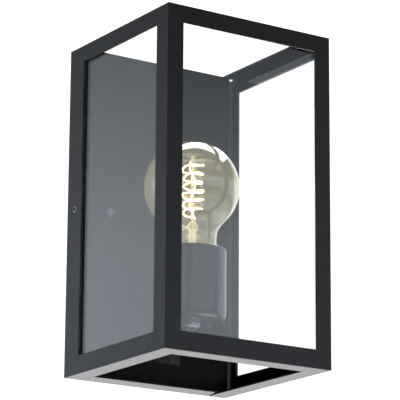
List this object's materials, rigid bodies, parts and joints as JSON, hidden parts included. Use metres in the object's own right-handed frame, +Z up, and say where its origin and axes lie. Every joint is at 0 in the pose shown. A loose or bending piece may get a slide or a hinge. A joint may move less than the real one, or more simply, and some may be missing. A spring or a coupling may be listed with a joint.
{
  "type": "outdoor wall lantern",
  "caption": "Box-shaped wall lantern: a black angle-steel cage with clear panes, open top and bottom, around one upright globe lamp on a shallow wall tray.",
  "frame": {"origin": "on the wall plane, at the centre of the wall bracket's two slots, which is the middle of the lantern's height and width", "axes": "+Z up, -Y out of the wall towards the lantern's front, +X to the right as seen from the front"},
  "size_m": [0.164, 0.158, 0.29],
  "materials": {
    "black_metal": "fine satin black powder coat",
    "zinc_steel": "bright zinc plate",
    "dark_nut": "dark polished plating",
    "rubber": "matte",
    "foam": "matte closed-cell foam",
    "white_plastic": "matte",
    "brass": "plain",
    "porcelain": "glazed",
    "brown_lead": "smooth insulation",
    "blue_lead": "smooth insulation",
    "green_lead": "green insulation with a yellow stripe",
    "pane_glass": "clear float glass, polished",
    "bulb_glass": "smoke-tinted blown glass",
    "stem_glass": "clear",
    "lamp_metal": "rolled brass cap",
    "black_glass": "vitreous black",
    "solder": "dull solder",
    "lamp_wire": "drawn wire",
    "filament": "glowing wire"
  },
  "bodies": {
    "wall_unit": {"wall_bracket": "zinc_steel", "bracket_studs": "zinc_steel", "inlet_grommet": "rubber", "nut_washers": "black_metal", "acorn_nuts": "dark_nut", "back_tray": "black_metal", "wall_gasket": "foam", "terminal_block": "white_plastic", "terminal_screws": "brass", "terminal_nut": "zinc_steel", "earth_tag": "brass", "earth_nut": "zinc_steel", "lamp_arm": "black_metal", "arm_rivets": "black_metal", "arm_grommet": "rubber", "holder_cup": "black_metal", "lamp_nipple": "zinc_steel", "nipple_nuts": "zinc_steel", "lock_washer": "zinc_steel", "holder_posts": "zinc_steel", "holder_screws": "dark_nut", "insert_screws": "zinc_steel", "holder_insert": "porcelain", "screw_shell": "brass", "centre_contact": "brass", "lead_brown": "brown_lead", "lead_blue": "blue_lead", "lead_earth": "green_lead", "lead_sleeve": "rubber"},
    "cage": {"top_rail_front": "black_metal", "top_rail_left": "black_metal", "top_rail_right": "black_metal", "bottom_rail_front": "black_metal", "bottom_rail_left": "black_metal", "bottom_rail_right": "black_metal", "front_post_left": "black_metal", "front_post_right": "black_metal", "rear_stile_left": "black_metal", "rear_stile_right": "black_metal", "front_glass": "pane_glass", "left_glass": "pane_glass", "right_glass": "pane_glass", "left_glazing_tape": "foam", "right_glazing_tape": "foam", "front_glazing_tape": "foam", "glass_clips": "black_metal", "stile_nuts": "zinc_steel"},
    "neck_ring": {"neck_seal": "rubber"},
    "lamp": {"lamp_glass": "bulb_glass", "lamp_cap": "lamp_metal", "cap_insulator": "black_glass", "lamp_contact": "solder", "lamp_stem": "stem_glass", "filament_supports": "lamp_wire", "lamp_lead_wires": "lamp_wire", "lamp_filament": "filament"},
    "left_washer": {"left_screw_washer": "rubber"},
    "left_screw": {"side_screw_left": "dark_nut"},
    "right_washer": {"right_screw_washer": "rubber"},
    "right_screw": {"side_screw_right": "dark_nut"}
  },
  "joints": [
    {"name": "cage_slide", "type": "slide", "parent": "wall_unit", "child": "cage", "axis": [0, -1, 0], "range_m": [0, 0.115]},
    {"name": "lamp_rise", "type": "slide", "parent": "wall_unit", "child": "neck_ring", "axis": [0, 0, 1], "range_m": [0, 0.0255]},
    {"name": "lamp_turn", "type": "hinge", "parent": "neck_ring", "child": "lamp", "pos_m": [0, -0.07, 0], "axis": [0, 0, 1], "range_deg": [0, 2520]},
    {"name": "left_screw_travel", "type": "slide", "parent": "cage", "child": "left_washer", "axis": [-1, 0, 0], "range_m": [0, 0.005]},
    {"name": "left_screw_turn", "type": "hinge", "parent": "left_washer", "child": "left_screw", "pos_m": [-0.08, -0.01125, 0], "axis": [-1, 0, 0], "range_deg": [0, 2250]},
    {"name": "right_screw_travel", "type": "slide", "parent": "cage", "child": "right_washer", "axis": [1, 0, 0], "range_m": [0, 0.005]},
    {"name": "right_screw_turn", "type": "hinge", "parent": "right_washer", "child": "right_screw", "pos_m": [0.08, -0.01125, 0], "axis": [1, 0, 0], "range_deg": [0, 2250]}
  ],
  "couplings": [
    {"joint": "lamp_rise", "follows": "lamp_turn", "m_per_rad": 0.00057757},
    {"joint": "left_screw_turn", "follows": "left_screw_travel", "rad_per_m": 7854},
    {"joint": "right_screw_turn", "follows": "right_screw_travel", "rad_per_m": 7854}
  ]
}
